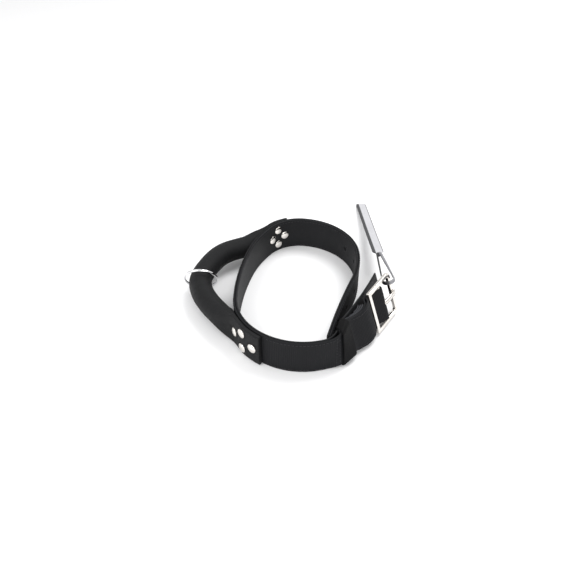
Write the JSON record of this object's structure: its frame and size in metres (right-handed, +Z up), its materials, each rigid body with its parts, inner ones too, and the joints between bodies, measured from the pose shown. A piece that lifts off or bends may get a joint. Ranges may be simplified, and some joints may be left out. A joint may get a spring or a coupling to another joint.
{
  "type": "buckle dog collar with grab handle",
  "caption": "Heavy two-ply webbing dog collar standing on its edge, unbuckled, with a padded grab handle, lead ring, riveted ends, keeper, buckle with prong and a hang tag.",
  "frame": {"origin": "on the band's lower edge, at the middle of its front run, in the plane the collar stands on", "axes": "+Z up from the standing edge, +Y away from the front run of the band towards the hang tag, +X from the grab handle towards the buckle"},
  "size_m": [0.272, 0.3524, 0.0563],
  "materials": {
    "nylon_inner": "smooth tight weave, faint sheen",
    "nylon_outer": "fine cross ribs, semi-matte",
    "keeper_webbing": "dense matte webbing",
    "handle_cloth": "fine matte nylon cloth over padding",
    "foam": "soft closed-cell foam",
    "nickel": "polished nickel plate",
    "chrome_ring": "bright welded wire",
    "tag_strap": "dark flat strap",
    "tag_strip": "satin silver-grey strip with dark edges",
    "tag_pin": "dark rivet"
  },
  "bodies": {
    "collar": {"handle_core": "foam", "handle_sleeve": "handle_cloth", "inner_ply": "nylon_inner", "keeper_loop": "keeper_webbing", "outer_ply": "nylon_outer", "rivet_back_left": "nickel", "rivet_back_lower": "nickel", "rivet_back_right": "nickel", "rivet_back_upper": "nickel", "rivet_backs_back": "nickel", "rivet_backs_front": "nickel", "rivet_front_left": "nickel", "rivet_front_lower": "nickel", "rivet_front_right": "nickel", "rivet_front_upper": "nickel"},
    "buckle": {"buckle_frame": "nickel", "centre_bar": "nickel"},
    "prong": {"prong": "nickel"},
    "tag": {"hang_tag": "tag_strip", "tag_loop": "tag_strap", "tag_pin": "tag_pin"},
    "lead_ring": {"o_ring": "chrome_ring"}
  },
  "joints": [
    {"name": "buckle_turn", "type": "hinge", "parent": "collar", "child": "buckle", "pos_m": [0.09935, 0.08507, 0.02902], "axis": [-0.2868, 0.1863, 0.9397], "range_deg": [0, 7]},
    {"name": "prong_lift", "type": "hinge", "parent": "buckle", "child": "prong", "pos_m": [0.09935, 0.08507, 0.02902], "axis": [0.2868, -0.1863, -0.9397], "range_deg": [0, 110]},
    {"name": "tag_swing", "type": "hinge", "parent": "buckle", "child": "tag", "pos_m": [0.10756, 0.11014, 0.04763], "axis": [0.2868, -0.1863, -0.9397], "range_deg": [0, 80]},
    {"name": "ring_tilt", "type": "hinge", "parent": "collar", "child": "lead_ring", "pos_m": [-0.1264, 0.14008, 0.0229], "axis": [1, 0, 0], "range_deg": [-54, 12]}
  ]
}
